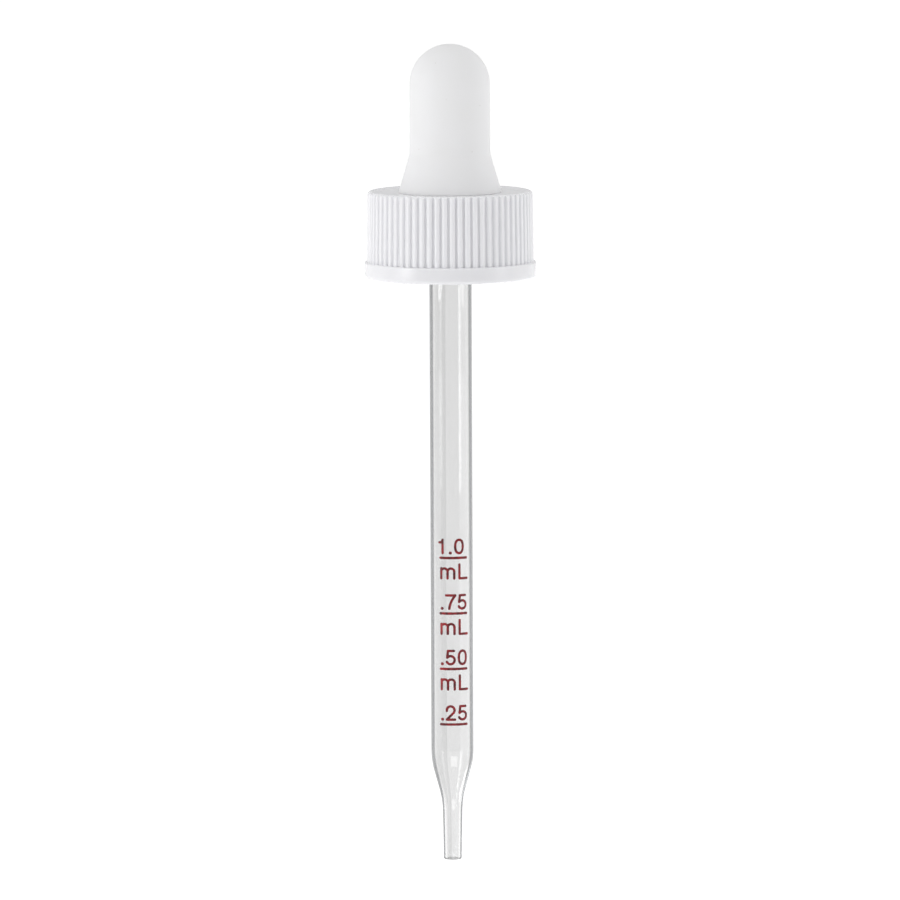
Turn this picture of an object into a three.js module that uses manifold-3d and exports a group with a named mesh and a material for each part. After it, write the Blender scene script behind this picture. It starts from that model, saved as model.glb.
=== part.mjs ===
// A medicine dropper for a screw-necked bottle: a hollow rubber bulb and a drawn glass pipette,
// both held in a ribbed screw cap. Millimetres, +Z up. The origin is on the dropper's axis, in
// the plane where the bottle's lip seals against the bulb's flange; the pipette hangs below it.
import * as THREE from 'three';
import { mergeVertices } from 'three/addons/utils/BufferGeometryUtils.js';
import Module from 'manifold-3d';

// ---- Driving dimensions ----

// Screw cap
const CAP_HEIGHT = 14.3;
const CAP_RADIUS = 13.6;          // over the ribs, at the top edge
const CAP_DRAFT = 0.15;           // how much further out the ribs stand at the band
const CAP_DECK = 1.4;             // thickness of the flat top, where the bulb sits on it
const CAP_EDGE_RISE = 0.2;        // how far the cap's edge stands above the bulb's seat
const CAP_EDGE_RADIUS = 12.3;     // inner radius of that raised edge
const CAP_EDGE_SLOPE = 0.6;       // width of the slope down from it
const CAP_EDGE_ROUND = 0.6;
const RIB_COUNT = 67;
const RIB_DEPTH = 0.4;
const RIB_CREST = 0.5;            // share of the pitch that is crest
const RIB_VALLEY = 0.2;           // share of the pitch that is valley
const FIRST_RIB_ANGLE = -88.5;    // degrees from +X, so that one rib is nearly at the front
const BAND_PROUD = 0.37;          // how far the smooth band stands out past the ribs
const BAND_HEIGHT = 2.7;
const BAND_ROUND = 0.5;           // at the rim
const BAND_TOP_ROUND = 0.3;

// The cap's inside, for a 24 mm continuous-thread bottle neck
const THREAD_ROOT_RADIUS = 12.1;
const THREAD_ROOT_ROUND = 0.5;    // where the threaded wall meets the deck
const THREAD_PROUD = 1.1;         // how far the ridge stands in from the root
const THREAD_SUNK = 0.4;          // how far the ridge runs back into the wall
const THREAD_PITCH = 3.175;
const THREAD_TURNS = 1.5;
const THREAD_LEAD_IN = 2.2;       // from the rim to the start of the ridge

// Bulb
const BULB_RADIUS = 6.65;
const BULB_WALL = 1.2;
const BULB_HEIGHT = 24.4;         // above the deck
const BULB_SHOULDER_RADIUS = 8.5; // where it sits on the cap
const BULB_SHOULDER_HEIGHT = 6.4; // from the deck up to the straight side
const BULB_SHOULDER_ROUND = 4;
const NECK_RADIUS = 7.5;          // the groove that the cap's deck lies in
const SEAL_FLANGE_PROUD = 3.2;    // how far the sealing flange stands out past the groove
const SEAL_FLANGE_THICKNESS = 1.5;
const CAVITY_FLOOR_RISE = 2.6;    // from the bead's top up to the cavity's full width

// Pipette
const TUBE_RADIUS = 3.5;
const TUBE_BORE_RADIUS = 2.93;
const PIPETTE_REACH = 107.6;      // from the sealing plane down to the tip
const PIPETTE_INSERT = 8.4;       // from the sealing plane up to the end in the bulb
const BEAD_PROUD = 0.6;           // the rolled bead at the upper end
const BEAD_HEIGHT = 1.4;
const BEAD_ROUND = 0.5;
const TIP_RADIUS = 1.48;
const TIP_BORE_RADIUS = 0.95;
const TIP_POLISH = 0.24;          // rounding of the fire-polished rim
const TIP_SHANK = 9.85;           // length of the narrow end
const TIP_DRAW = 6.55;            // length of the drawn cone above it
const TIP_SHANK_FLARE = 0.17;     // how much wider the narrow end is at its top
const DRAW_ROUND = 14;            // radius of the glass where the cone begins and ends

// Graduation marks: one line for each quarter of a millilitre, counted up from the lowest
const MARK_NAMES = ['mark_0.25_ml', 'mark_0.50_ml', 'mark_0.75_ml', 'mark_1.00_ml'];
const MARK_SPACING = 9.2;
const LOWEST_MARK_HEIGHT = 22.78; // above the tip
const MARK_WIDTH = 0.38;          // height of a line
const MARK_LENGTH = 4.56;         // straight across, seen from the front
const MARK_THICKNESS = 0.04;
const MARK_TURN = 5.25;           // degrees that the scale is turned towards +X from the front

// Fits
const TURNING_GAP = 0.1;          // round the bulb's neck and round the tube, on the radius
const FACE_GAP = 0.05;            // between faces that lie against each other
const BEAD_GAP = 0.3;             // round the bead, on the radius
const MARK_GAP = 0.02;            // between the glass and a mark
const CUT_OVERRUN = 1;            // how far a cutting shape runs past the face it cuts

// Roundness of the meshes
const CAP_SIDES = 72;
const BULB_SIDES = 48;
const TUBE_SIDES = 32;
const ARC_STEP = Math.PI / 10;
const EDGE_STEPS = 3;             // rings round the cap's top edge
const THREAD_SIDES = 8;
const THREAD_STEPS_PER_TURN = 24;
const MARK_STEPS = 4;

// ---- Heights that the pieces share ----

const deckUnderside = SEAL_FLANGE_THICKNESS + FACE_GAP;
const deckTop = deckUnderside + CAP_DECK;
const capTop = deckTop + CAP_EDGE_RISE;
const capRim = capTop - CAP_HEIGHT;
const bulbSeat = deckTop + FACE_GAP;
const bulbTop = deckTop + BULB_HEIGHT;
const beadUnderside = PIPETTE_INSERT - BEAD_HEIGHT;
const tip = -PIPETTE_REACH;

// ---- Tools ----

const wasm = await Module();
wasm.setup();

// A closed manifold from a three.js geometry: its seams are welded and its slivers left out.
function solid(geometry) {
  geometry.deleteAttribute('normal');
  geometry.deleteAttribute('uv');
  const welded = mergeVertices(geometry);
  const corners = welded.index.array;
  const kept = [];
  for (let i = 0; i < corners.length; i += 3) {
    const [a, b, c] = corners.slice(i, i + 3);
    if (a !== b && b !== c && c !== a) kept.push(a, b, c);
  }
  return new wasm.Manifold(new wasm.Mesh({
    numProp: 3,
    vertProperties: new Float32Array(welded.getAttribute('position').array),
    triVerts: new Uint32Array(kept),
  }));
}

function geometryOf(manifold) {
  const { vertProperties, triVerts } = manifold.getMesh();
  const geometry = new THREE.BufferGeometry();
  geometry.setAttribute('position', new THREE.BufferAttribute(vertProperties, 3));
  geometry.setIndex(new THREE.BufferAttribute(triVerts, 1));
  geometry.computeVertexNormals();
  return geometry;
}

// The outline through [radius, height, rounding] corners, with an arc at each rounded one.
function outline(corners) {
  const at = corners.map(([radius, height]) => new THREE.Vector2(radius, height));
  return corners.flatMap(([, , round = 0], i) => {
    if (round === 0) return [at[i]];
    const before = at[i - 1].clone().sub(at[i]).normalize();
    const after = at[i + 1].clone().sub(at[i]).normalize();
    const half = Math.acos(before.dot(after)) / 2;
    const inward = before.clone().add(after).normalize();
    const centre = at[i].clone().addScaledVector(inward, round / Math.sin(half));
    const start = at[i].clone().addScaledVector(before, round / Math.tan(half));
    const turn = -Math.sign(before.cross(after)) * (Math.PI - 2 * half);
    const steps = Math.max(2, Math.ceil(Math.abs(turn) / ARC_STEP));
    return Array.from({ length: steps + 1 }, (_, k) =>
      start.clone().rotateAround(centre, (turn * k) / steps));
  });
}

// A body of revolution about Z. The corners run anticlockwise, up the outside.
function turned(corners, sides) {
  const geometry = new THREE.LatheGeometry(outline(corners), sides);
  geometry.rotateX(Math.PI / 2);
  return solid(geometry);
}

// ---- Screw cap ----

// The toothed outline of the skirt at its top, before the edge is rounded.
function ribOutline() {
  const pitch = (2 * Math.PI) / RIB_COUNT;
  const halfCrest = (RIB_CREST / 2) * pitch;
  const halfFoot = ((1 - RIB_VALLEY) / 2) * pitch;
  const foot = CAP_RADIUS - RIB_DEPTH;
  const corner = (radius, angle) =>
    new THREE.Vector2(radius * Math.cos(angle), radius * Math.sin(angle));
  return Array.from({ length: RIB_COUNT }, (_, rib) => {
    const middle = THREE.MathUtils.degToRad(FIRST_RIB_ANGLE) + rib * pitch;
    return [
      corner(foot, middle - halfFoot),
      corner(CAP_RADIUS, middle - halfCrest),
      corner(CAP_RADIUS, middle + halfCrest),
      corner(foot, middle + halfFoot),
    ];
  }).flat();
}

// The ribbed skirt: the outline drawn up through rings that widen towards the band by the
// mould's draft and close in round the top edge.
function ribbedSkirt() {
  const bottom = capRim + BAND_HEIGHT / 2;
  const edgeStart = capTop - CAP_EDGE_ROUND;
  const rings = [{ height: bottom, inset: -CAP_DRAFT }];
  for (let step = 0; step <= EDGE_STEPS; step += 1) {
    const angle = (Math.PI / 2) * (step / EDGE_STEPS);
    rings.push({
      height: edgeStart + CAP_EDGE_ROUND * Math.sin(angle),
      inset: CAP_EDGE_ROUND * (1 - Math.cos(angle)),
    });
  }
  const steps = rings.length - 1;
  const options = { depth: steps, steps, bevelEnabled: false };
  const skirt = new THREE.ExtrudeGeometry(new THREE.Shape(ribOutline()), options);
  const position = skirt.getAttribute('position');
  for (let i = 0; i < position.count; i += 1) {
    const { height, inset } = rings[Math.round(position.getZ(i))];
    const scale = 1 - inset / CAP_RADIUS;
    position.setXYZ(i, position.getX(i) * scale, position.getY(i) * scale, height);
  }
  return solid(skirt);
}

function smoothBand() {
  const radius = CAP_RADIUS + CAP_DRAFT + BAND_PROUD;
  return turned([
    [0, capRim],
    [radius, capRim, BAND_ROUND],
    [radius, capRim + BAND_HEIGHT, BAND_TOP_ROUND],
    [CAP_RADIUS - RIB_DEPTH, capRim + BAND_HEIGHT],
    [0, capRim + BAND_HEIGHT],
  ], CAP_SIDES);
}

// The hollow for the bottle's neck, the hole that the bulb's neck goes through, and the shallow
// dish round it on top.
function capHollow() {
  const hole = NECK_RADIUS + TURNING_GAP;
  return turned([
    [0, capRim - CUT_OVERRUN],
    [THREAD_ROOT_RADIUS, capRim - CUT_OVERRUN],
    [THREAD_ROOT_RADIUS, deckUnderside, THREAD_ROOT_ROUND],
    [hole, deckUnderside],
    [hole, deckTop],
    [CAP_EDGE_RADIUS - CAP_EDGE_SLOPE, deckTop],
    [CAP_EDGE_RADIUS, capTop],
    [CAP_EDGE_RADIUS, capTop + CUT_OVERRUN],
    [0, capTop + CUT_OVERRUN],
  ], CAP_SIDES);
}

class Helix extends THREE.Curve {
  constructor(radius, pitch, turns, start) {
    super();
    Object.assign(this, { radius, pitch, turns, start });
  }

  getPoint(t, target = new THREE.Vector3()) {
    const angle = 2 * Math.PI * this.turns * t;
    const height = this.start + this.pitch * this.turns * t;
    return target.set(this.radius * Math.cos(angle), this.radius * Math.sin(angle), height);
  }
}

// A round-nosed ridge whose back lies in the wall.
function threadRidge() {
  const section = new THREE.Shape();
  const sides = Array.from({ length: THREAD_SIDES }, (_, k) => (2 * Math.PI * k) / THREAD_SIDES);
  section.setFromPoints(sides.map((angle) =>
    new THREE.Vector2(THREAD_PROUD * Math.cos(angle), THREAD_PROUD * Math.sin(angle))));
  const start = capRim + THREAD_LEAD_IN;
  const extrudePath = new Helix(THREAD_ROOT_RADIUS, THREAD_PITCH, THREAD_TURNS, start);
  const steps = Math.round(THREAD_STEPS_PER_TURN * THREAD_TURNS);
  const ridge = solid(new THREE.ExtrudeGeometry(section, { extrudePath, steps }));
  const wall = turned([
    [0, capRim],
    [THREAD_ROOT_RADIUS + THREAD_SUNK, capRim],
    [THREAD_ROOT_RADIUS + THREAD_SUNK, deckUnderside],
    [0, deckUnderside],
  ], CAP_SIDES);
  return ridge.intersect(wall);
}

function screwCap() {
  const shell = ribbedSkirt().add(smoothBand()).subtract(capHollow());
  return shell.add(threadRidge());
}

// ---- Bulb ----

// Dome, straight side, cone-shaped shoulder, the groove for the cap's deck, the sealing flange,
// then back up through the hole that grips the tube and round the inside of the cavity.
function bulb() {
  const grip = TUBE_RADIUS + TURNING_GAP;
  const beadRoom = TUBE_RADIUS + BEAD_PROUD + BEAD_GAP;
  const cavity = BULB_RADIUS - BULB_WALL;
  const flange = NECK_RADIUS + SEAL_FLANGE_PROUD;
  const beadCeiling = PIPETTE_INSERT + FACE_GAP;
  const shoulderTop = deckTop + BULB_SHOULDER_HEIGHT;
  return turned([
    [0, bulbTop - BULB_WALL],
    [cavity, bulbTop - BULB_WALL, cavity],
    [cavity, beadCeiling + CAVITY_FLOOR_RISE],
    [beadRoom, beadCeiling],
    [beadRoom, beadUnderside - FACE_GAP],
    [grip, beadUnderside - FACE_GAP],
    [grip, 0],
    [flange, 0],
    [flange, SEAL_FLANGE_THICKNESS],
    [NECK_RADIUS, SEAL_FLANGE_THICKNESS],
    [NECK_RADIUS, bulbSeat],
    [BULB_SHOULDER_RADIUS, bulbSeat],
    [BULB_RADIUS, shoulderTop, BULB_SHOULDER_ROUND],
    [BULB_RADIUS, bulbTop, BULB_RADIUS],
    [0, bulbTop],
  ], BULB_SIDES);
}

// ---- Pipette ----

// Down the bore from the beaded end, round the fire-polished tip and back up the outside.
function pipette() {
  const bead = TUBE_RADIUS + BEAD_PROUD;
  const shankTop = tip + TIP_SHANK;
  const drawTop = shankTop + TIP_DRAW;
  const shankTopRadius = TIP_RADIUS + TIP_SHANK_FLARE;
  return turned([
    [TUBE_BORE_RADIUS, PIPETTE_INSERT],
    [TUBE_BORE_RADIUS, drawTop, DRAW_ROUND],
    [TIP_BORE_RADIUS + TIP_SHANK_FLARE, shankTop, DRAW_ROUND],
    [TIP_BORE_RADIUS, tip, TIP_POLISH],
    [TIP_RADIUS, tip, TIP_POLISH],
    [shankTopRadius, shankTop, DRAW_ROUND],
    [TUBE_RADIUS, drawTop, DRAW_ROUND],
    [TUBE_RADIUS, beadUnderside],
    [bead, beadUnderside, BEAD_ROUND],
    [bead, PIPETTE_INSERT, BEAD_ROUND],
    [TUBE_BORE_RADIUS, PIPETTE_INSERT],
  ], TUBE_SIDES);
}

// ---- Graduation marks ----

// A curved bar of fired enamel on the front of the tube, the given number of steps up the scale.
function mark(step) {
  const inner = TUBE_RADIUS + MARK_GAP;
  const outer = inner + MARK_THICKNESS;
  const half = Math.asin(MARK_LENGTH / 2 / outer);
  const middle = THREE.MathUtils.degToRad(MARK_TURN - 90);
  const bar = new THREE.Shape();
  bar.absarc(0, 0, outer, middle - half, middle + half, false);
  bar.absarc(0, 0, inner, middle + half, middle - half, true);
  bar.closePath();
  const options = { depth: MARK_WIDTH, bevelEnabled: false, curveSegments: MARK_STEPS };
  const geometry = new THREE.ExtrudeGeometry(bar, options);
  geometry.translate(0, 0, tip + LOWEST_MARK_HEIGHT + step * MARK_SPACING - MARK_WIDTH / 2);
  return solid(geometry);
}

// ---- The dropper ----

const polypropylene = new THREE.MeshStandardMaterial({
  color: 0xf1f1f2, roughness: 0.38, metalness: 0,
});
const rubber = new THREE.MeshStandardMaterial({
  color: 0xf2f2f4, roughness: 0.7, metalness: 0,
});
const glass = new THREE.MeshStandardMaterial({
  color: 0xe6ecec, roughness: 0.03, metalness: 0, transparent: true, opacity: 0.35,
});
const enamel = new THREE.MeshStandardMaterial({
  color: 0xb0202a, roughness: 0.4, metalness: 0,
});

function piece(name, manifold, material) {
  const mesh = new THREE.Mesh(geometryOf(manifold), material);
  mesh.name = name;
  return mesh;
}

const dropper = new THREE.Group();
dropper.name = 'medicine_dropper';
dropper.add(piece('screw_cap', screwCap(), polypropylene));
dropper.add(piece('bulb', bulb(), rubber));
dropper.add(piece('pipette', pipette(), glass));
MARK_NAMES.forEach((name, step) => dropper.add(piece(name, mark(step), enamel)));

export default dropper;
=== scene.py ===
# %% [markdown]
# # A medicine dropper
# A rubber squeeze bulb and a drawn glass pipette, both held in a ribbed screw cap. The CAD model is
# the fixed frame: it says where every piece is and what moves with what. This file gives each
# piece its finished surface, built from outlines that are turned round the dropper's axis, and from
# Geometry Nodes where something repeats or follows a surface: ribs, thread and printed scale.

# %% Load the frame
import math

import bpy
from mathutils import Matrix, Vector


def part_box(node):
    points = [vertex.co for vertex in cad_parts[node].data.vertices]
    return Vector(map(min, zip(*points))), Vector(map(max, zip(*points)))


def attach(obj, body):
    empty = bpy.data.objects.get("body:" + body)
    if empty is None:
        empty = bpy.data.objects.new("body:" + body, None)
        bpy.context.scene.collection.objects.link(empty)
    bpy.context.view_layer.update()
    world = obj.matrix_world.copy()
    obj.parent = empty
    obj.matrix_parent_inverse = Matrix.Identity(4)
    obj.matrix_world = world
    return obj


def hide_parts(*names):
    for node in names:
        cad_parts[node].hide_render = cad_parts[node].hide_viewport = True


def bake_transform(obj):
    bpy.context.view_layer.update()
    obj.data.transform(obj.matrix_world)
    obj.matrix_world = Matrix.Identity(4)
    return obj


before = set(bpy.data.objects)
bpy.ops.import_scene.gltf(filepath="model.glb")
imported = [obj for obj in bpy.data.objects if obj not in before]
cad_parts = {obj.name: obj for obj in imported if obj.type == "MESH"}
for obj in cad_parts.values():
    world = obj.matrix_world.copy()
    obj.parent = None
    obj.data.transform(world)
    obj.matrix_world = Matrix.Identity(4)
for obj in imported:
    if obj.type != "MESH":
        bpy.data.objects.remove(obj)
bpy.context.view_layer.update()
MM = 0.001
TAU = 2 * math.pi

# %% [markdown]
# ## Heights and radii
# The outermost sizes are read from the CAD nodes, so the finished pieces can't drift from them.
# The rest are the sizes that a mould maker or a glass worker would set, in millimetres.

# %% Sizes taken from the frame, in millimetres


def reach(node):
    """A node's outer radius, lowest height and highest height, in millimetres."""
    low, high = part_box(node)
    return high[0] / MM, low[2] / MM, high[2] / MM


BAND_RADIUS, CAP_RIM, CAP_TOP = reach("screw_cap")
FLANGE_RADIUS, _, BULB_TOP = reach("bulb")
_, TIP, TUBE_TOP = reach("pipette")
marks = [name for name in sorted(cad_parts) if name.startswith("mark_")]
MARK_HEIGHTS = {name: sum(reach(name)[1:]) / 2 for name in marks}
print(f"cap {CAP_RIM:.2f} to {CAP_TOP:.2f}, bulb top {BULB_TOP:.2f}, tip {TIP:.2f}", MARK_HEIGHTS)

# %% [markdown]
# ## Helpers
# Everything round starts as an outline of corners, each with its own rounding, and is turned about
# the axis. Geometry Nodes and shader trees are both built with one small function that adds a
# node with its settings and links.

# %% Turn an outline into a body
SHARP_EDGE = math.radians(35)


def outline(corners, arc_step=math.radians(9)):
    """Points through [radius, height, rounding] corners, with an arc at each rounded one."""
    points = []
    for i, (radius, height, *rounding) in enumerate(corners):
        here = Vector((radius, height))
        if not rounding:
            points.append(here)
            continue
        before = (Vector(corners[i - 1][:2]) - here).normalized()
        after = (Vector(corners[(i + 1) % len(corners)][:2]) - here).normalized()
        half = math.acos(before.dot(after)) / 2
        centre = here + (before + after).normalized() * rounding[0] / math.sin(half)
        start = here + before * rounding[0] / math.tan(half) - centre
        turn = -math.copysign(math.pi - 2 * half, before.cross(after))
        steps = max(3, math.ceil(abs(turn) / arc_step))
        points += [centre + Matrix.Rotation(turn * k / steps, 2) @ start for k in range(steps + 1)]
    return points


def turned(name, points, columns, closed, first_angle=0.0):
    """A mesh object: the outline turned about Z. An open outline starts and ends on the axis."""
    rows, vertices = [], []
    for radius, height in points:
        count = 1 if radius < 1e-6 else columns
        rows.append(range(len(vertices), len(vertices) + count))
        for k in range(count):
            angle = first_angle + TAU * k / columns
            vertices.append((radius * math.cos(angle) * MM, radius * math.sin(angle) * MM, height * MM))
    pairs = list(zip(rows, rows[1:])) + ([(rows[-1], rows[0])] if closed else [])
    faces = []
    for lower, upper in pairs:
        for k in range(columns):
            j = (k + 1) % columns
            ring = [row[i % len(row)] for row, i in ((lower, k), (lower, j), (upper, j), (upper, k))]
            faces.append(list(dict.fromkeys(ring)))
    mesh = bpy.data.meshes.new(name)
    mesh.from_pydata(vertices, [], faces)
    mesh.shade_smooth()
    mesh.set_sharp_from_angle(angle=SHARP_EDGE)
    piece = bpy.data.objects.new(name, mesh)
    bpy.context.scene.collection.objects.link(piece)
    return piece


# %% Build node trees and bake them into plain meshes


def live(sockets, name):
    """The socket of that name that the node's settings leave in use."""
    return next(socket for socket in sockets if socket.name == name and socket.enabled)


def add(tree, kind, into=None, **settings):
    """Adds a node, sets its properties, and links or sets the inputs given in into: by name or
    number in a dict, or in order in a list. A node given as an input stands for its first output."""
    node = tree.nodes.new(kind)
    for name, value in settings.items():
        setattr(node, name, value)
    for name, source in enumerate(into) if isinstance(into, list) else (into or {}).items():
        socket = node.inputs[name] if isinstance(name, int) else live(node.inputs, name)
        if isinstance(source, bpy.types.Node):
            source = source.outputs[0]
        if isinstance(source, bpy.types.NodeSocket):
            tree.links.new(source, socket)
        else:
            socket.default_value = source
    return node


def shape_tree(name, sizes):
    """A Geometry Nodes tree with a geometry input and named number inputs, and its two ends."""
    tree = bpy.data.node_groups.new(name, "GeometryNodeTree")
    tree.interface.new_socket("Geometry", in_out="INPUT", socket_type="NodeSocketGeometry")
    for label, value in sizes.items():
        kind = "NodeSocketInt" if isinstance(value, int) else "NodeSocketFloat"
        tree.interface.new_socket(label, in_out="INPUT", socket_type=kind)
    tree.interface.new_socket("Geometry", in_out="OUTPUT", socket_type="NodeSocketGeometry")
    return tree, add(tree, "NodeGroupInput").outputs


def finish_tree(tree, geometry, material):
    """Ends a tree in real geometry that wears its material."""
    real = add(tree, "GeometryNodeRealizeInstances", {"Geometry": geometry})
    worn = add(tree, "GeometryNodeSetMaterial", {"Geometry": real.outputs[0], "Material": material})
    add(tree, "NodeGroupOutput", {"Geometry": worn.outputs[0]})


def grown(piece, tree, sizes):
    """Runs a tree on a piece, keeps the result as its plain mesh and drops the modifier."""
    modifier = piece.modifiers.new("shape", "NODES")
    modifier.node_group = tree
    for item in tree.interface.items_tree:
        if item.in_out == "INPUT" and item.name in sizes:
            modifier[item.identifier] = sizes[item.name]
    depsgraph = bpy.context.evaluated_depsgraph_get()
    mesh = bpy.data.meshes.new_from_object(piece.evaluated_get(depsgraph), depsgraph=depsgraph)
    piece.modifiers.remove(modifier)
    piece.data = mesh
    mesh.name = piece.name
    print(piece.name, len(mesh.vertices), "vertices")
    return piece


def linear(code):
    """A linear colour from an sRGB hex value such as "F2F2F4"."""
    channels = [int(code[i:i + 2], 16) / 255 for i in (0, 2, 4)]
    return (*(c / 12.92 if c <= 0.04045 else ((c + 0.055) / 1.055) ** 2.4 for c in channels), 1.0)


def finish(name):
    """An empty material with its tree and its Principled shader, already wired to the output."""
    material = bpy.data.materials.new(name)
    material.use_nodes = True
    tree = material.node_tree
    return material, tree, tree.nodes["Principled BSDF"]


# %% [markdown]
# ## Camera
# A long lens, almost level with the cap and a little above it, so that the tube's sides stay
# parallel. The dropper leans a quarter of a degree in the frame.

# %% Set up the camera
LENS_DISTANCE = 2.0
LENS_DOWN = math.radians(5.9)
FIELD_OF_VIEW = math.radians(4.245)
LEAN = math.radians(-0.24)
aim = Vector((-0.19, 0.0, -39.7)) * MM
camera = bpy.data.objects.new("camera", bpy.data.cameras.new("camera"))
bpy.context.scene.collection.objects.link(camera)
back = Vector((0, -math.cos(LENS_DOWN), math.sin(LENS_DOWN)))
camera.location = aim + back * LENS_DISTANCE
lean = Matrix.Rotation(LEAN, 3, "Z").to_quaternion()
camera.rotation_euler = (back.to_track_quat("Z", "Y") @ lean).to_euler()
camera.data.angle = FIELD_OF_VIEW
camera.data.clip_end = 20
bpy.context.scene.camera = camera
bpy.context.scene.view_settings.view_transform = "Standard"
print("camera at", [round(c, 3) for c in camera.location])

# %% [markdown]
# ## Moulded polypropylene
# The cap is white polypropylene from a polished mould: bright, slightly cool where the light meets
# it and a little warm in the valleys, because the plastic is faintly translucent. A very fine
# unevenness keeps its highlights soft.

# %% Polypropylene
polypropylene, tree, skin = finish("white_moulded_polypropylene")
skin.inputs["Roughness"].default_value = 0.22
skin.inputs["IOR"].default_value = 1.49
skin.inputs["Subsurface Weight"].default_value = 1.0
skin.inputs["Subsurface Radius"].default_value = (1.0, 1.0, 1.0)
skin.inputs["Subsurface Scale"].default_value = 0.42 * MM
where = add(tree, "ShaderNodeTexCoord").outputs["Object"]
cloud = add(tree, "ShaderNodeTexNoise", {"Vector": where, "Scale": 1 / (6 * MM), "Detail": 3.0})
tint = add(tree, "ShaderNodeMix", {
    "Factor": cloud.outputs["Fac"], "A": linear("F1F1F4"), "B": linear("EFEFF2"),
}, data_type="RGBA")
tree.links.new(live(tint.outputs, "Result"), skin.inputs["Base Color"])
orange_peel = add(tree, "ShaderNodeTexNoise", {"Vector": where, "Scale": 1 / (0.5 * MM), "Detail": 2.0})
bump = add(tree, "ShaderNodeBump", {"Height": orange_peel.outputs["Fac"], "Strength": 0.08,
                                    "Distance": 0.02 * MM})
tree.links.new(bump.outputs["Normal"], skin.inputs["Normal"])
print(polypropylene.name, len(tree.nodes), "nodes")

# %% [markdown]
# ## Screw cap
# One moulding: a deck with a raised edge and a hole for the bulb's neck, a skirt with 67 fine ribs for the
# fingers, and a smooth band below them. The body is an outline turned about the axis, at the radius
# of the rib crests. The ribs repeat by a rule, so Geometry Nodes cut the valleys between them: no
# point of the skirt may stand further out than the rib profile at its angle.

# %% Turn the cap's body
DECK = 1.4
EDGE_ROUND = 0.6
EDGE_RISE = 0.2
EDGE_RADIUS = 12.3
EDGE_SLOPE = 0.6
CREST_RADIUS = 13.6
DRAFT = 0.15
BAND_HEIGHT = 2.7
BAND_ROUND = 0.5
THREAD_ROOT = 12.1
HOLE_RADIUS = 7.6
RIB_COUNT = 67
COLUMNS_PER_RIB = 14
FIRST_RIB = math.radians(-88.5)
SHARP_RIB = math.radians(50)
LEAD_IN = 0.45        # the bevel at the mouth, which guides the bottle's neck in

band_top = CAP_RIM + BAND_HEIGHT
deck_top = CAP_TOP - EDGE_RISE
deck_under = deck_top - DECK
cap_outline = outline([
    (HOLE_RADIUS, deck_under, 0.1),
    (THREAD_ROOT, deck_under, 0.5),
    (THREAD_ROOT, CAP_RIM + LEAD_IN),
    (THREAD_ROOT + LEAD_IN, CAP_RIM, 0.12),
    (BAND_RADIUS, CAP_RIM, BAND_ROUND),
    (BAND_RADIUS, band_top, 0.3),
    (CREST_RADIUS + DRAFT, band_top),
    (CREST_RADIUS, CAP_TOP, EDGE_ROUND),
    (EDGE_RADIUS, CAP_TOP, 0.5),
    (EDGE_RADIUS - EDGE_SLOPE, deck_top, 0.5),
    (HOLE_RADIUS, deck_top, 0.1),
], math.radians(7))
cap = turned("cap_shell", cap_outline, RIB_COUNT * COLUMNS_PER_RIB, True, FIRST_RIB)
print("cap outline has", len(cap_outline), "points")

# %% Cut the valleys between the ribs
MATH = "ShaderNodeMath"
HAIR = 1e-6           # metres, so that nothing is divided by nought or missed by rounding
rib_sizes = {
    "Rib count": RIB_COUNT,
    "First rib": FIRST_RIB,
    "Rib depth": 0.4 * MM,
    "Crest share": 0.56,
    "Crest swell": 0.11 * MM,
    "Valley share": 0.25,
    "Crest radius": CREST_RADIUS * MM,
    "Draft": DRAFT * MM,
    "Band top": band_top * MM,
    "Cap top": CAP_TOP * MM,
}
tree, size = shape_tree("rib_valleys", rib_sizes)
place = add(tree, "ShaderNodeSeparateXYZ", {0: add(tree, "GeometryNodeInputPosition").outputs[0]}).outputs
squares = [add(tree, MATH, [place[i], place[i]], operation="MULTIPLY") for i in (0, 1)]
radius = add(tree, MATH, [add(tree, MATH, squares, operation="ADD")], operation="SQRT")
bearing = add(tree, MATH, [place[1], place[0]], operation="ARCTAN2")
angle = add(tree, MATH, [bearing, size["First rib"]], operation="SUBTRACT")
part_turn = add(tree, MATH, [angle, TAU], operation="DIVIDE")
turns = add(tree, MATH, [part_turn, size["Rib count"]], operation="MULTIPLY")
nearest = add(tree, MATH, [turns], operation="ROUND")
past_crest = add(tree, MATH, [turns, nearest], operation="SUBTRACT")
off_crest = add(tree, MATH, [past_crest], operation="ABSOLUTE")
crest_edge = add(tree, MATH, [size["Crest share"], 0.5], operation="MULTIPLY")
half_valley = add(tree, MATH, [size["Valley share"], 0.5], operation="MULTIPLY")
valley_edge = add(tree, MATH, [0.5, half_valley], operation="SUBTRACT")
valley = add(tree, "ShaderNodeMapRange", {
    "Value": off_crest, "From Min": crest_edge, "From Max": valley_edge,
}, interpolation_type="SMOOTHSTEP")
print("a valley's edges are found with", len(tree.nodes), "nodes")

# %% Hold each point of the skirt inside the rib profile
skirt_height = add(tree, MATH, [size["Cap top"], size["Band top"]], operation="SUBTRACT")
below_top = add(tree, MATH, [size["Cap top"], place[2]], operation="SUBTRACT")
drop = add(tree, MATH, [below_top, skirt_height], operation="DIVIDE")
draft = add(tree, MATH, [size["Draft"], drop], operation="MULTIPLY")
crest = add(tree, MATH, [size["Crest radius"], draft], operation="ADD")
across_crest = add(tree, MATH, [off_crest, crest_edge], operation="DIVIDE")
swell = add(tree, MATH, [across_crest, 2.0], operation="POWER")
fall = add(tree, MATH, [size["Crest swell"], swell], operation="MULTIPLY")
not_valley = add(tree, MATH, [1.0, valley], operation="SUBTRACT")
on_crest = add(tree, MATH, [fall, not_valley], operation="MULTIPLY")
in_valley = add(tree, MATH, [size["Rib depth"], valley], operation="MULTIPLY")
cut_depth = add(tree, MATH, [on_crest, in_valley], operation="ADD")
allowed = add(tree, MATH, [crest, cut_depth], operation="SUBTRACT")
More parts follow.
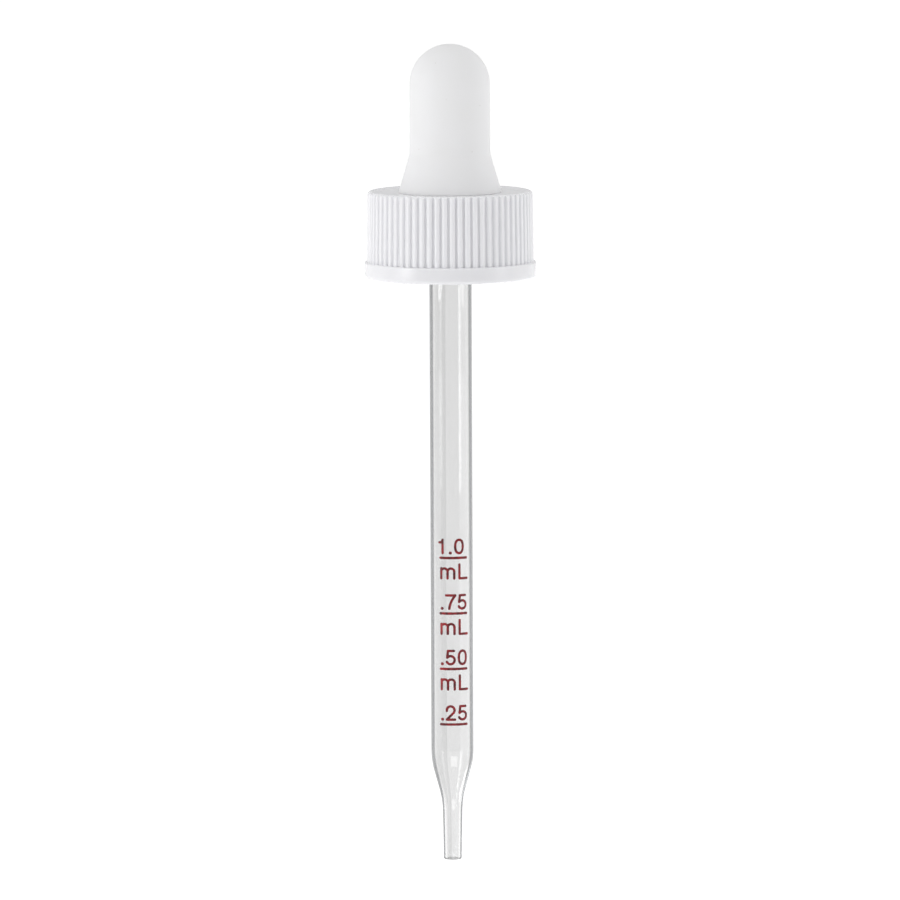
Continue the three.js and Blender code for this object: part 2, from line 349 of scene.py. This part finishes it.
kept = add(tree, MATH, [radius, allowed], operation="MINIMUM")
skirt_foot = add(tree, MATH, [size["Band top"], HAIR], operation="SUBTRACT")
on_skirt = add(tree, MATH, [place[2], skirt_foot], operation="GREATER_THAN")
never_zero = add(tree, MATH, [radius, HAIR], operation="MAXIMUM")
scale = add(tree, MATH, [kept, never_zero], operation="DIVIDE")
moved_x, moved_y = (add(tree, MATH, [place[i], scale], operation="MULTIPLY") for i in (0, 1))
moved = add(tree, "ShaderNodeCombineXYZ", [moved_x, moved_y, place[2]])
cut = add(tree, "GeometryNodeSetPosition", {"Geometry": size["Geometry"], "Selection": on_skirt,
                                            "Position": moved.outputs[0]})
finish_tree(tree, cut.outputs[0], polypropylene)
grown(cap, tree, rib_sizes)
cap.data.set_sharp_from_angle(angle=SHARP_RIB)
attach(cap, "cap")
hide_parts("screw_cap")

# %% [markdown]
# ## Thread
# Inside the skirt a single ridge winds one and a half times round, at the 3.175 mm pitch of a 24 mm
# bottle neck, and thins out at both ends where the mould lets go. It follows a helix, so a spiral
# curve with a tapering radius is swept into a tube, half sunk into the wall.

# %% Wind the thread
END_SHARE = 0.15      # of the ridge's full section, left at its very ends
thread_sizes = {
    "Radius": THREAD_ROOT * MM,
    "Pitch": 3.175 * MM,
    "Turns": 1.5,
    "Start": (CAP_RIM + 2.2) * MM,
    "Ridge": 1.1 * MM,
    "Sink": 0.25 * MM,
    "Run-out": 0.06,
}
tree, size = shape_tree("bottle_thread", thread_sizes)
sunk_radius = add(tree, MATH, [size["Radius"], size["Sink"]], operation="ADD")
climb = add(tree, MATH, [size["Turns"], size["Pitch"]], operation="MULTIPLY")
spiral = add(tree, "GeometryNodeCurveSpiral", {
    "Resolution": 64, "Rotations": size["Turns"], "Start Radius": sunk_radius,
    "End Radius": sunk_radius, "Height": climb,
})
lift = add(tree, "ShaderNodeCombineXYZ", {2: size["Start"]})
raised = add(tree, "GeometryNodeSetPosition", {"Geometry": spiral.outputs[0], "Offset": lift.outputs[0]})
along = add(tree, "GeometryNodeSplineParameter").outputs["Factor"]
from_middle = add(tree, MATH, [along, 0.5], operation="SUBTRACT")
either_way = add(tree, MATH, [from_middle], operation="ABSOLUTE")
to_end = add(tree, MATH, [0.5, either_way], operation="SUBTRACT")
full = add(tree, "ShaderNodeMapRange", {
    "Value": to_end, "From Max": size["Run-out"],
}, interpolation_type="SMOOTHSTEP")
grown_in = add(tree, MATH, [full, 1 - END_SHARE], operation="MULTIPLY")
share = add(tree, MATH, [END_SHARE, grown_in], operation="ADD")
full_ridge = add(tree, MATH, [size["Ridge"], size["Sink"]], operation="ADD")
ridge = add(tree, MATH, [full_ridge, share], operation="MULTIPLY")
section = add(tree, "GeometryNodeCurvePrimitiveCircle", {"Resolution": 20, "Radius": 1.0})
wound = add(tree, "GeometryNodeCurveToMesh", {
    "Curve": raised.outputs[0], "Profile Curve": section.outputs[0], "Scale": ridge, "Fill Caps": True,
})
print("the ridge is wound with", len(tree.nodes), "nodes")

# %% Keep the ridge's back inside the wall
spot = add(tree, "ShaderNodeSeparateXYZ", {0: add(tree, "GeometryNodeInputPosition").outputs[0]}).outputs
squares = [add(tree, MATH, [spot[i], spot[i]], operation="MULTIPLY") for i in (0, 1)]
stand = add(tree, MATH, [add(tree, MATH, squares, operation="ADD")], operation="SQRT")
to_wall = add(tree, MATH, [sunk_radius, stand], operation="DIVIDE")
squeeze = add(tree, MATH, [1.0, to_wall], operation="MINIMUM")
inside_x, inside_y = (add(tree, MATH, [spot[i], squeeze], operation="MULTIPLY") for i in (0, 1))
inside = add(tree, "ShaderNodeCombineXYZ", [inside_x, inside_y, spot[2]])
backed = add(tree, "GeometryNodeSetPosition", {"Geometry": wound.outputs[0], "Position": inside.outputs[0]})
finish_tree(tree, backed.outputs[0], polypropylene)
thread = bpy.data.objects.new("cap_thread", bpy.data.meshes.new("cap_thread"))
bpy.context.scene.collection.objects.link(thread)
grown(thread, tree, thread_sizes)
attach(thread, "cap")

# %% [markdown]
# ## Moulded rubber
# The bulb is a white thermoplastic rubber, moulded with a smooth matte skin. Light sinks a little
# way in, which softens its shading, and a few specks of dust cling to it as they always do.

# %% Rubber
rubber, tree, skin = finish("white_matte_rubber")
skin.inputs["Roughness"].default_value = 0.62
skin.inputs["IOR"].default_value = 1.5
skin.inputs["Specular IOR Level"].default_value = 0.35
skin.inputs["Subsurface Weight"].default_value = 1.0
skin.inputs["Subsurface Radius"].default_value = (1.0, 1.0, 1.0)
skin.inputs["Subsurface Scale"].default_value = 0.2 * MM
where = add(tree, "ShaderNodeTexCoord").outputs["Object"]
cloud = add(tree, "ShaderNodeTexNoise", {"Vector": where, "Scale": 1 / (5 * MM), "Detail": 2.0})
shade = add(tree, "ShaderNodeMix", {
    "Factor": cloud.outputs["Fac"], "A": linear("F4F4F6"), "B": linear("F2F2F2"),
}, data_type="RGBA")
dust = add(tree, "ShaderNodeTexVoronoi", {"Vector": where, "Scale": 1 / (2.4 * MM), "Randomness": 1.0})
speck = add(tree, "ShaderNodeMapRange", {
    "Value": dust.outputs["Distance"], "From Min": 0.03, "From Max": 0.06, "To Min": 0.35, "To Max": 0.0,
})
dusted = add(tree, "ShaderNodeMix", {
    "Factor": speck.outputs[0], "A": live(shade.outputs, "Result"), "B": linear("C9C4BD"),
}, data_type="RGBA")
tree.links.new(live(dusted.outputs, "Result"), skin.inputs["Base Color"])
grain = add(tree, "ShaderNodeTexNoise", {"Vector": where, "Scale": 1 / (0.12 * MM), "Detail": 3.0})
bump = add(tree, "ShaderNodeBump", {"Height": grain.outputs["Fac"], "Strength": 0.15, "Distance": 0.01 * MM})
tree.links.new(bump.outputs["Normal"], skin.inputs["Normal"])
print(rubber.name, len(tree.nodes), "nodes")

# %% [markdown]
# ## Bulb
# One hollow moulding: a dome on a straight side that flares into a cone where it sits on the cap.
# Below that, out of sight, are the groove that the cap's deck lies in, the flange that seals the
# bottle, and the hole that grips the glass. Its outline runs from the inside of the dome down,
# out through the grip and up the outside to the top of the dome.

# %% Turn the bulb
BULB_RADIUS = 6.65
BULB_WALL = 1.2
SHOULDER_RADIUS = 8.5
SHOULDER_HEIGHT = 6.4
NECK_RADIUS = 7.5
FLANGE = 1.5
FACE_GAP = 0.05
TUBE_RADIUS = 3.5
BEAD_RADIUS = 4.1
BEAD_HEIGHT = 1.4
BEAD_SLACK = 0.3      # room round the bead, so that it can be pushed in
CAVITY_LIP = 2.65     # from the bead's top up to where the cavity is full width
BULB_COLUMNS = 144

cavity = BULB_RADIUS - BULB_WALL
bead_under = TUBE_TOP - BEAD_HEIGHT
bulb_outline = outline([
    (0, BULB_TOP - BULB_WALL),
    (cavity, BULB_TOP - BULB_WALL, cavity),
    (cavity, TUBE_TOP + CAVITY_LIP, 1.5),
    (BEAD_RADIUS + BEAD_SLACK, TUBE_TOP + FACE_GAP),
    (BEAD_RADIUS + BEAD_SLACK, bead_under - FACE_GAP, 0.2),
    (TUBE_RADIUS + FACE_GAP, bead_under - FACE_GAP, 0.2),
    (TUBE_RADIUS + FACE_GAP, 0, 0.4),
    (FLANGE_RADIUS, 0, 0.3),
    (FLANGE_RADIUS, FLANGE, 0.3),
    (NECK_RADIUS, FLANGE, 0.2),
    (NECK_RADIUS, deck_top, 0.2),
    (SHOULDER_RADIUS, deck_top),
    (BULB_RADIUS, deck_top + SHOULDER_HEIGHT, 4.0),
    (BULB_RADIUS, BULB_TOP, BULB_RADIUS),
    (0, BULB_TOP),
], math.radians(5))
clean = [p for i, p in enumerate(bulb_outline) if i == 0 or (p - bulb_outline[i - 1]).length > 1e-4]
bulb = turned("bulb_skin", clean, BULB_COLUMNS, False)
bulb.data.materials.append(rubber)
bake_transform(bulb)
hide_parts("bulb")
print("bulb outline has", len(clean), "points")

# %% [markdown]
# ## Drawn glass
# The pipette is soda-lime tubing, clear and colourless face-on. What the glass bends and mirrors gives the
# streaks where the tube narrows. Drawing leaves it very slightly uneven along its length. The dark lines
# along both sides are painted shade, not made by the room: the outer wall's colour darkens where it turns
# away from the eye, so they stay on the tube's edges from every side.

# %% Glass
glass, tree, skin = finish("clear_drawn_glass")
# Painted shade: the outer wall's colour turns dark grey where it faces away from the eye, which draws the
# dark lines down the tube's edges.
facing = add(tree, "ShaderNodeLayerWeight", {"Blend": 0.5}).outputs["Facing"]
rim = add(tree, "ShaderNodeMapRange", {"Value": facing, "From Min": 0.37, "From Max": 0.5},
          interpolation_type="SMOOTHSTEP")
outside = add(tree, "ShaderNodeAttribute", attribute_name="outer_wall").outputs["Fac"]
painted_edge_shade = add(tree, "ShaderNodeMath", {0: rim.outputs[0], 1: outside}, operation="MULTIPLY")
# The dark grey is the colour of the painted shade at the edges; the light grey is the glass's own faint tint.
body = add(tree, "ShaderNodeMix", {"Factor": painted_edge_shade.outputs[0], "A": linear("ECECEC"), "B": linear("585A5C")},
           data_type="RGBA")
tree.links.new(live(body.outputs, "Result"), skin.inputs["Base Color"])
skin.inputs["Roughness"].default_value = 0.0
skin.inputs["IOR"].default_value = 1.52
skin.inputs["Transmission Weight"].default_value = 1.0
where = add(tree, "ShaderNodeTexCoord").outputs["Object"]
drawn_out = add(tree, "ShaderNodeMapping", {"Vector": where, "Scale": (1.0, 1.0, 0.06)})
streaks = add(tree, "ShaderNodeTexNoise", {
    "Vector": drawn_out.outputs[0], "Scale": 1 / (1.2 * MM), "Detail": 1.0,
})
bump = add(tree, "ShaderNodeBump", {"Height": streaks.outputs["Fac"], "Strength": 0.1, "Distance": 0.02 * MM})
tree.links.new(bump.outputs["Normal"], skin.inputs["Normal"])
print(glass.name, len(tree.nodes), "nodes")

# %% [markdown]
# ## Pipette
# A glass worker rolls a bead on one end of the tube, so that the bulb can't slip off it, draws the
# other end down in a flame and melts the cut edge round. Both walls are modelled, because the bore
# is what bends the light.

# %% Turn the pipette
BORE_RADIUS = 2.93
TIP_RADIUS = 1.48
TIP_BORE = 0.95
TIP_SHANK = 9.85
TIP_DRAW = 6.55
TIP_FLARE = 0.17
DRAW_ROUND = 14.0
POLISH = 0.24

shank_top = TIP + TIP_SHANK
draw_top = shank_top + TIP_DRAW
pipette_outline = outline([
    (BORE_RADIUS, TUBE_TOP, 0.2),
    (BORE_RADIUS, draw_top, DRAW_ROUND),
    (TIP_BORE + TIP_FLARE, shank_top, DRAW_ROUND),
    (TIP_BORE, TIP, POLISH),
    (TIP_RADIUS, TIP, POLISH),
    (TIP_RADIUS + TIP_FLARE, shank_top, DRAW_ROUND),
    (TUBE_RADIUS, draw_top, DRAW_ROUND),
    (TUBE_RADIUS, bead_under, 0.2),
    (BEAD_RADIUS, bead_under, 0.5),
    (BEAD_RADIUS, TUBE_TOP, 0.5),
], math.radians(3))
TUBE_COLUMNS = 160
pipette = turned("glass_pipette", pipette_outline, TUBE_COLUMNS, True)
lowest = min(range(len(pipette_outline)), key=lambda i: pipette_outline[i].y)
outer_wall = pipette.data.attributes.new("outer_wall", "FLOAT", "POINT")
rings = [k // TUBE_COLUMNS for k in range(len(pipette.data.vertices))]
outer_wall.data.foreach_set("value", [float(ring > lowest) for ring in rings])
pipette.data.materials.append(glass)
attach(pipette, "pipette")
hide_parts("pipette")
print("pipette outline has", len(pipette_outline), "points")

# %% [markdown]
# ## Printed scale
# The scale is crimson ceramic ink, screen printed on the tube and fired. Each figure is a set of
# centre lines, drawn flat in millimetres with the measure line as its zero. Geometry Nodes lay a fine
# grid under it, keep what lies within half a stroke of a centre line, pull the ragged rim onto
# the stroke's true edge, give the ink its thickness, and wrap the result round the glass.

# %% Ink
ink, tree, skin = finish("fired_crimson_ink")
skin.inputs["Roughness"].default_value = 0.45
where = add(tree, "ShaderNodeTexCoord").outputs["Object"]
patches = add(tree, "ShaderNodeTexNoise", {"Vector": where, "Scale": 1 / (0.7 * MM), "Detail": 3.0})
density = add(tree, "ShaderNodeMapRange", {
    "Value": patches.outputs["Fac"], "From Min": 0.35, "From Max": 0.65,
})
crimson = add(tree, "ShaderNodeMix", {
    "Factor": density.outputs[0], "A": linear("A31A22"), "B": linear("4E1016"),
}, data_type="RGBA")
tree.links.new(live(crimson.outputs, "Result"), skin.inputs["Base Color"])
print(ink.name, len(tree.nodes), "nodes")

# %% Draw the figures as centre lines
FIGURE = 2.2          # height of a figure's centre line
SMALL = 1.64          # the same for a small letter
ARC_STEPS = 32
BEND_STEPS = 12


def arc(cx, cy, rx, ry, start, end, power=1.0):
    """Points round an ellipse from one angle to another, in degrees; a low power squares it."""
    points = []
    for k in range(ARC_STEPS + 1):
        a = math.radians(start + (end - start) * k / ARC_STEPS)
        across, up = (math.copysign(abs(part) ** power, part) for part in (math.cos(a), math.sin(a)))
        points.append((cx + rx * across, cy + ry * up))
    return points


def bent(start, control, end):
    """Points along a quadratic curve."""
    points = []
    for t in [k / BEND_STEPS for k in range(BEND_STEPS + 1)]:
        sides = zip(start, control, end)
        points.append(tuple((1 - t) ** 2 * a + 2 * t * (1 - t) * b + t * t * c for a, b, c in sides))
    return points


FIGURES = {
    "0": [arc(0.66, FIGURE / 2, 0.66, FIGURE / 2, 0, 360, 0.85)],
    "1": [[(0, 0), (0, FIGURE)],
          [(-0.6, FIGURE - 0.44), *bent((-0.3, FIGURE - 0.44), (-0.1, FIGURE - 0.3), (0, FIGURE))]],
    "2": [[*arc(0.64, FIGURE - 0.64, 0.64, 0.64, 190, -40), (0, 0), (1.34, 0)]],
    "5": [[(1.22, FIGURE), (0.24, FIGURE), (0.1, 1.1), *arc(0.66, 0.67, 0.67, 0.67, 140, -155)]],
    "7": [[(0, FIGURE), *bent((1.5, FIGURE), (0.62, FIGURE / 2), (0.52, 0))]],
    ".": [[(-0.04, 0), (0.06, 0)], [(-0.04, 0.08), (0.06, 0.08)]],
    "m": [[(0, 0), (0, SMALL)],
          *([(x, SMALL - 0.5), *arc(x + 0.55, SMALL - 0.52, 0.55, 0.52, 180, 0), (x + 1.1, 0)]
            for x in (0, 1.1))],
    "L": [[(0, 2.28), (0, 0), (1.4, 0)]],
}
RISE = 0.8            # from the measure line up to a figure's foot
UNIT_DROP = -3.38     # from the measure line down to the unit's foot
UNIT = [("m", -1.78, UNIT_DROP), ("L", 1.31, UNIT_DROP)]
LABELS = {
    "mark_1.00_ml": [("1", -1.52, RISE), (".", -0.23, RISE), ("0", 0.6, RISE), *UNIT],
    "mark_0.75_ml": [(".", -1.66, RISE), ("7", -0.93, RISE), ("5", 1.12, RISE), *UNIT],
    "mark_0.50_ml": [(".", -1.66, RISE), ("5", -0.9, RISE), ("0", 1.14, RISE), *UNIT],
    "mark_0.25_ml": [(".", -1.66, RISE), ("2", -0.9, RISE), ("5", 1.12, RISE)],
}
MEASURE_LINE = [(-1.94, 0), (2.58, 0)]


def label_lines(name, height):
    """A mesh of edges: every centre line of a label, flat, with its foot at the mark's height."""
    strokes = [MEASURE_LINE]
    for figure, x, y in LABELS[name]:
        strokes += [[(x + px, y + py) for px, py in stroke] for stroke in FIGURES[figure]]
    vertices, edges = [], []
    for stroke in strokes:
        edges += [(len(vertices) + k, len(vertices) + k + 1) for k in range(len(stroke) - 1)]
        vertices += [(x * MM, (y + height) * MM, 0) for x, y in stroke]
    mesh = bpy.data.meshes.new(name)
    mesh.from_pydata(vertices, edges, [])
    label = bpy.data.objects.new(name.replace("mark", "print"), mesh)
    bpy.context.scene.collection.objects.link(label)
    return label


print(len(FIGURES), "figures for", len(LABELS), "labels")

# %% Print the figures on the glass
TOUCHING = 1e-7       # metres; points nearer than this are the same point
print_sizes = {
    "Stroke": 0.43 * MM,
    "Grid": 0.045 * MM,
    "Margin": 0.3 * MM,
    "Ink": 0.03 * MM,
    "Tube radius": (TUBE_RADIUS + 0.005) * MM,
    "Raggedness": 0.012 * MM,
}
tree, size = shape_tree("printed_on_a_tube", print_sizes)
lines = size["Geometry"]
box = add(tree, "GeometryNodeBoundBox", {"Geometry": lines})
span = add(tree, "ShaderNodeVectorMath", {0: box.outputs["Max"], 1: box.outputs["Min"]}, operation="SUBTRACT")
middle = add(tree, "ShaderNodeVectorMath", {0: box.outputs["Max"], 1: box.outputs["Min"]}, operation="ADD")
centre = add(tree, "ShaderNodeVectorMath", {0: middle.outputs[0], "Scale": 0.5}, operation="SCALE")
extent = add(tree, "ShaderNodeSeparateXYZ", {0: span.outputs[0]}).outputs
margins = add(tree, MATH, [size["Margin"], 2.0], operation="MULTIPLY")
wide, tall = (add(tree, MATH, [extent[i], margins], operation="ADD") for i in (0, 1))
across, up = (add(tree, MATH, [side, size["Grid"]], operation="DIVIDE") for side in (wide, tall))
sheet = add(tree, "GeometryNodeMeshGrid", {
    "Size X": wide, "Size Y": tall, "Vertices X": across, "Vertices Y": up,
})
under = add(tree, "GeometryNodeSetPosition", {"Geometry": sheet.outputs["Mesh"], "Offset": centre.outputs[0]})
near = add(tree, "GeometryNodeProximity", {0: lines}, target_element="EDGES")
here = add(tree, "GeometryNodeInputPosition").outputs[0]
noise = add(tree, "ShaderNodeTexNoise", {"Vector": here, "Scale": 1 / (0.25 * MM), "Detail": 1.0})
wander = noise.outputs["Fac"]
print("the grid takes", len(tree.nodes), "nodes")

# %% Keep what lies under a stroke and give it its thickness
half_stroke = add(tree, MATH, [size["Stroke"], 0.5], operation="MULTIPLY")
off_middle = add(tree, MATH, [wander, 0.5], operation="SUBTRACT")
both_ways = add(tree, MATH, [size["Raggedness"], 2.0], operation="MULTIPLY")
waver = add(tree, MATH, [off_middle, both_ways], operation="MULTIPLY")
half = add(tree, MATH, [half_stroke, waver], operation="ADD")
bare = add(tree, MATH, [near.outputs["Distance"], half], operation="GREATER_THAN")
inked = add(tree, "GeometryNodeDeleteGeometry", {
    "Geometry": under.outputs[0], "Selection": bare,
}, domain="FACE")
away = add(tree, "ShaderNodeVectorMath", {0: here, 1: near.outputs["Position"]}, operation="SUBTRACT")
apart = add(tree, MATH, [near.outputs["Distance"], TOUCHING], operation="MAXIMUM")
pull = add(tree, MATH, [half, apart], operation="DIVIDE")
short = add(tree, "ShaderNodeVectorMath", {0: away.outputs[0], "Scale": pull}, operation="SCALE")
edge = add(tree, "ShaderNodeVectorMath", {0: near.outputs["Position"], 1: short.outputs[0]}, operation="ADD")
rim = add(tree, "GeometryNodeSetPosition", {
    "Geometry": inked.outputs[0], "Selection": bare, "Position": edge.outputs[0],
})
raised = add(tree, "GeometryNodeExtrudeMesh", {
    "Mesh": rim.outputs[0], "Offset Scale": size["Ink"], "Individual": False,
})
foot = add(tree, "GeometryNodeFlipFaces", {"Mesh": rim.outputs[0]})
both = add(tree, "GeometryNodeJoinGeometry", {"Geometry": raised.outputs["Mesh"]})
tree.links.new(foot.outputs[0], both.inputs[0])
whole = add(tree, "GeometryNodeMergeByDistance", {"Geometry": both.outputs[0], "Distance": TOUCHING})
print("the flat ink takes", len(tree.nodes), "nodes")

# %% Wrap the ink round the tube
flat = add(tree, "ShaderNodeSeparateXYZ", {0: here}).outputs
turn = add(tree, MATH, [flat[0], size["Tube radius"]], operation="DIVIDE")
out = add(tree, MATH, [size["Tube radius"], flat[2]], operation="ADD")
sine, cosine = (add(tree, MATH, [turn], operation=name) for name in ("SINE", "COSINE"))
to_right = add(tree, MATH, [out, sine], operation="MULTIPLY")
outward = add(tree, MATH, [out, cosine], operation="MULTIPLY")
to_front = add(tree, MATH, [outward, -1.0], operation="MULTIPLY")
round_tube = add(tree, "ShaderNodeCombineXYZ", [to_right, to_front, flat[1]])
wrapped = add(tree, "GeometryNodeSetPosition", {
    "Geometry": whole.outputs[0], "Position": round_tube.outputs[0],
})
finish_tree(tree, wrapped.outputs[0], ink)
for mark, height in MARK_HEIGHTS.items():
    label = grown(label_lines(mark, height), tree, print_sizes)
    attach(label, "pipette")
    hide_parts(mark)

# %% [markdown]
# ## Studio
# The dropper hangs over a bright white floor that runs back out of sight, as over a lit sweep, and
# that is brighter behind the dropper than in front. White board in a matte finish, lit from
# underneath, gives the eye an even ground with no edge in it.

# %% Floor and world
WORLD = 0.615
FLOOR_BACK = 0.49
FLOOR_FRONT = 0.18
FLOOR_DROP = 60 * MM
GLOW_START = -0.1     # metres behind the axis, where the floor begins to brighten
GLOW_END = 0.3        # and where it is at its brightest
FLOOR_REACH = 8.0     # metres each way, so that its edges are out of sight
floor_mesh = bpy.data.meshes.new("floor")
floor_height = TIP * MM - FLOOR_DROP
signs = ((-1, -1), (1, -1), (1, 1), (-1, 1))
corners = [(x * FLOOR_REACH, y * FLOOR_REACH, floor_height) for x, y in signs]
floor_mesh.from_pydata(corners, [], [(0, 1, 2, 3)])
floor = bpy.data.objects.new("floor", floor_mesh)
bpy.context.scene.collection.objects.link(floor)
white_sweep, tree, skin = finish("white_sweep")
skin.inputs["Base Color"].default_value = linear("F4F4F4")
skin.inputs["Roughness"].default_value = 0.9
skin.inputs["Emission Color"].default_value = linear("FFFFFF")
spot = add(tree, "ShaderNodeSeparateXYZ", {0: add(tree, "ShaderNodeTexCoord").outputs["Object"]}).outputs
glow = add(tree, "ShaderNodeMapRange", {
    "Value": spot[1], "From Min": GLOW_START, "From Max": GLOW_END,
    "To Min": FLOOR_FRONT, "To Max": FLOOR_BACK,
}, interpolation_type="SMOOTHSTEP")
tree.links.new(glow.outputs[0], skin.inputs["Emission Strength"])
floor_mesh.materials.append(white_sweep)

world = bpy.data.worlds.new("studio")
world.use_nodes = True
world.node_tree.nodes["Background"].inputs["Color"].default_value = (1.0, 1.0, 1.0, 1.0)
world.node_tree.nodes["Background"].inputs["Strength"].default_value = WORLD
bpy.context.scene.world = world
print("floor at", round(floor_height, 4))

# %% [markdown]
# ## Lights
# A broad soft light stands at the front left, smaller ones at the right, high up behind and overhead.
# Clear glass shows what surrounds it, so a few sheets that the camera can't see stand round the
# dropper: a faint grey gel behind its left, a dark card in front that only mirrored light shows, and
# two lit panels on the floor, which reach the glass from below.

# %% Lights
KEY = 4.4             # radiance of each light, in watts per square metre and steradian
RIGHT = 2.4
HIGH = 0.9
TOP = 0.9


def place_around(bearing, distance):
    """A point round the dropper; the bearing is counted from the camera's side, to the right."""
    angle = math.radians(bearing - 90)
    return distance * math.cos(angle), distance * math.sin(angle)


def softbox(name, bearing, distance, low, high, width, radiance):
    """An upright rectangular white light, facing the axis, between two heights in metres."""
    lamp = bpy.data.objects.new(name, bpy.data.lights.new(name, "AREA"))
    bpy.context.scene.collection.objects.link(lamp)
    lamp.data.shape = "RECTANGLE"
    lamp.data.size = width
    lamp.data.size_y = high - low
    lamp.data.energy = radiance * math.pi * width * (high - low)
    x, y = place_around(bearing, distance)
    lamp.location = (x, y, (low + high) / 2)
    lamp.rotation_euler = Vector((x, y, 0)).to_track_quat("Z", "Y").to_euler()
    return lamp


left_box = softbox("left_box", bearing=-61, distance=1.2, low=-0.15, high=0.5, width=0.38, radiance=KEY)
right_box = softbox("right_box", bearing=71, distance=1.2, low=-0.15, high=0.4, width=0.32, radiance=RIGHT)
high_box = softbox("high_box", bearing=112, distance=1.0, low=0.5, high=1.0, width=0.5, radiance=HIGH)
high_box.rotation_euler = high_box.location.to_track_quat("Z", "Y").to_euler()
top_box = softbox("top_box", bearing=0, distance=0.0, low=1.0, high=2.0, width=1.0, radiance=TOP)
top_box.rotation_euler = (0, 0, 0)
print("lights:", [lamp.name for lamp in (left_box, right_box, high_box, top_box)])

# %% Sheets that only the glass shows
SHEET_STEPS = 8
SHEET_TOP = 0.5       # metres
PANEL_LIFT = 2 * MM
PANEL_GLOW = 2.0


def unseen(name, left, right, near, far, material):
    """A sheet from a near to a far rim, each a distance and a height, curved round the dropper between two
    bearings in degrees from straight behind. The camera and matte surfaces don't see it."""
    bearings = [math.radians(left + (right - left) * k / SHEET_STEPS)
                for k in range(SHEET_STEPS + 1)]
    corners = [(d * math.sin(b), d * math.cos(b), z) for d, z in (near, far) for b in bearings]
    mesh = bpy.data.meshes.new(name)
    row = SHEET_STEPS + 1
    mesh.from_pydata(corners, [], [(k, k + 1, k + row + 1, k + row) for k in range(SHEET_STEPS)])
    mesh.materials.append(material)
    sheet = bpy.data.objects.new(name, mesh)
    bpy.context.scene.collection.objects.link(sheet)
    sheet.visible_camera = False
    sheet.visible_diffuse = False
    sheet.visible_shadow = False
    return sheet


# Matte black card: all that its face gives back is a trace of grey.
black_card, _, skin = finish("black_card")
skin.inputs["Base Color"].default_value = linear("101010")
skin.inputs["Roughness"].default_value = 0.9
# Lighting gel in the faintest grey: it only takes a little off the light that passes.
grey_gel, tree, _ = finish("grey_gel")
tint = add(tree, "ShaderNodeBsdfTransparent", {"Color": linear("F0F0F0")})
tree.links.new(tint.outputs[0], tree.nodes["Material Output"].inputs["Surface"])
# White board that is lit from inside: brighter than the floor it lies on.
lit_panel, _, skin = finish("lit_panel")
skin.inputs["Base Color"].default_value = linear("F4F4F4")
skin.inputs["Emission Color"].default_value = linear("FFFFFF")
skin.inputs["Emission Strength"].default_value = PANEL_GLOW

gel_left = unseen("gel_left", left=-20, right=-2.4, near=(0.16, floor_height), far=(0.16, SHEET_TOP),
                  material=grey_gel)
gel_left.visible_glossy = False
dark_front = unseen("dark_front", left=135, right=240, near=(0.5, floor_height), far=(0.5, SHEET_TOP),
                    material=black_card)
dark_front.visible_transmission = False
panel_height = floor_height + PANEL_LIFT
panel_back = unseen("panel_back", left=2, right=32, near=(0.16, panel_height), far=(0.38, panel_height),
                    material=lit_panel)
panel_front = unseen("panel_front", left=150, right=190, near=(0.14, panel_height),
                     far=(0.3, panel_height), material=lit_panel)
print("sheets:", [sheet.name for sheet in (gel_left, dark_front, panel_back, panel_front)])
